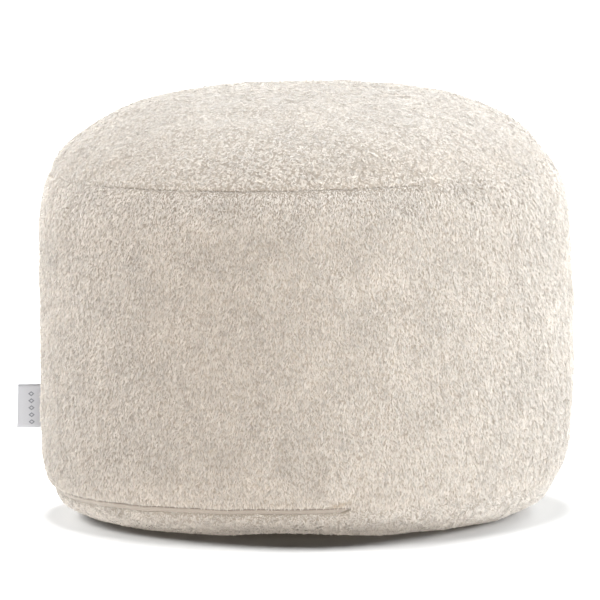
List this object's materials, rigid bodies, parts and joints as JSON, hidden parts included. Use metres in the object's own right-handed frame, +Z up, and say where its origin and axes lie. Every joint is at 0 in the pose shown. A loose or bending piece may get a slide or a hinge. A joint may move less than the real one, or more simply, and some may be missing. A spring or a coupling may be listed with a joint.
{
  "type": "bean bag footstool",
  "caption": "Round, low bean bag footstool in long plush, with a domed crown, an upright side band drawn in at its seams and a flat foot.",
  "frame": {"origin": "middle of the flat foot, on the floor", "axes": "+Z up; the front faces -Y; +X to the right seen from the front; the label stands out at -X"},
  "size_m": [0.5224, 0.4989, 0.4033],
  "materials": {
    "crown_plush": "short curly cream plush pile",
    "side_plush": "short cream plush pile brushed downwards",
    "base_plush": "short curly cream plush pile",
    "zip_cloth": "smooth woven tape, matt",
    "label_satin": "pale grey woven satin ribbon"
  },
  "bodies": {
    "root": {"top_panel": "crown_plush", "side_band": "side_plush", "base_panel": "base_plush", "zip_tape": "zip_cloth", "label": "label_satin"}
  },
  "joints": []
}
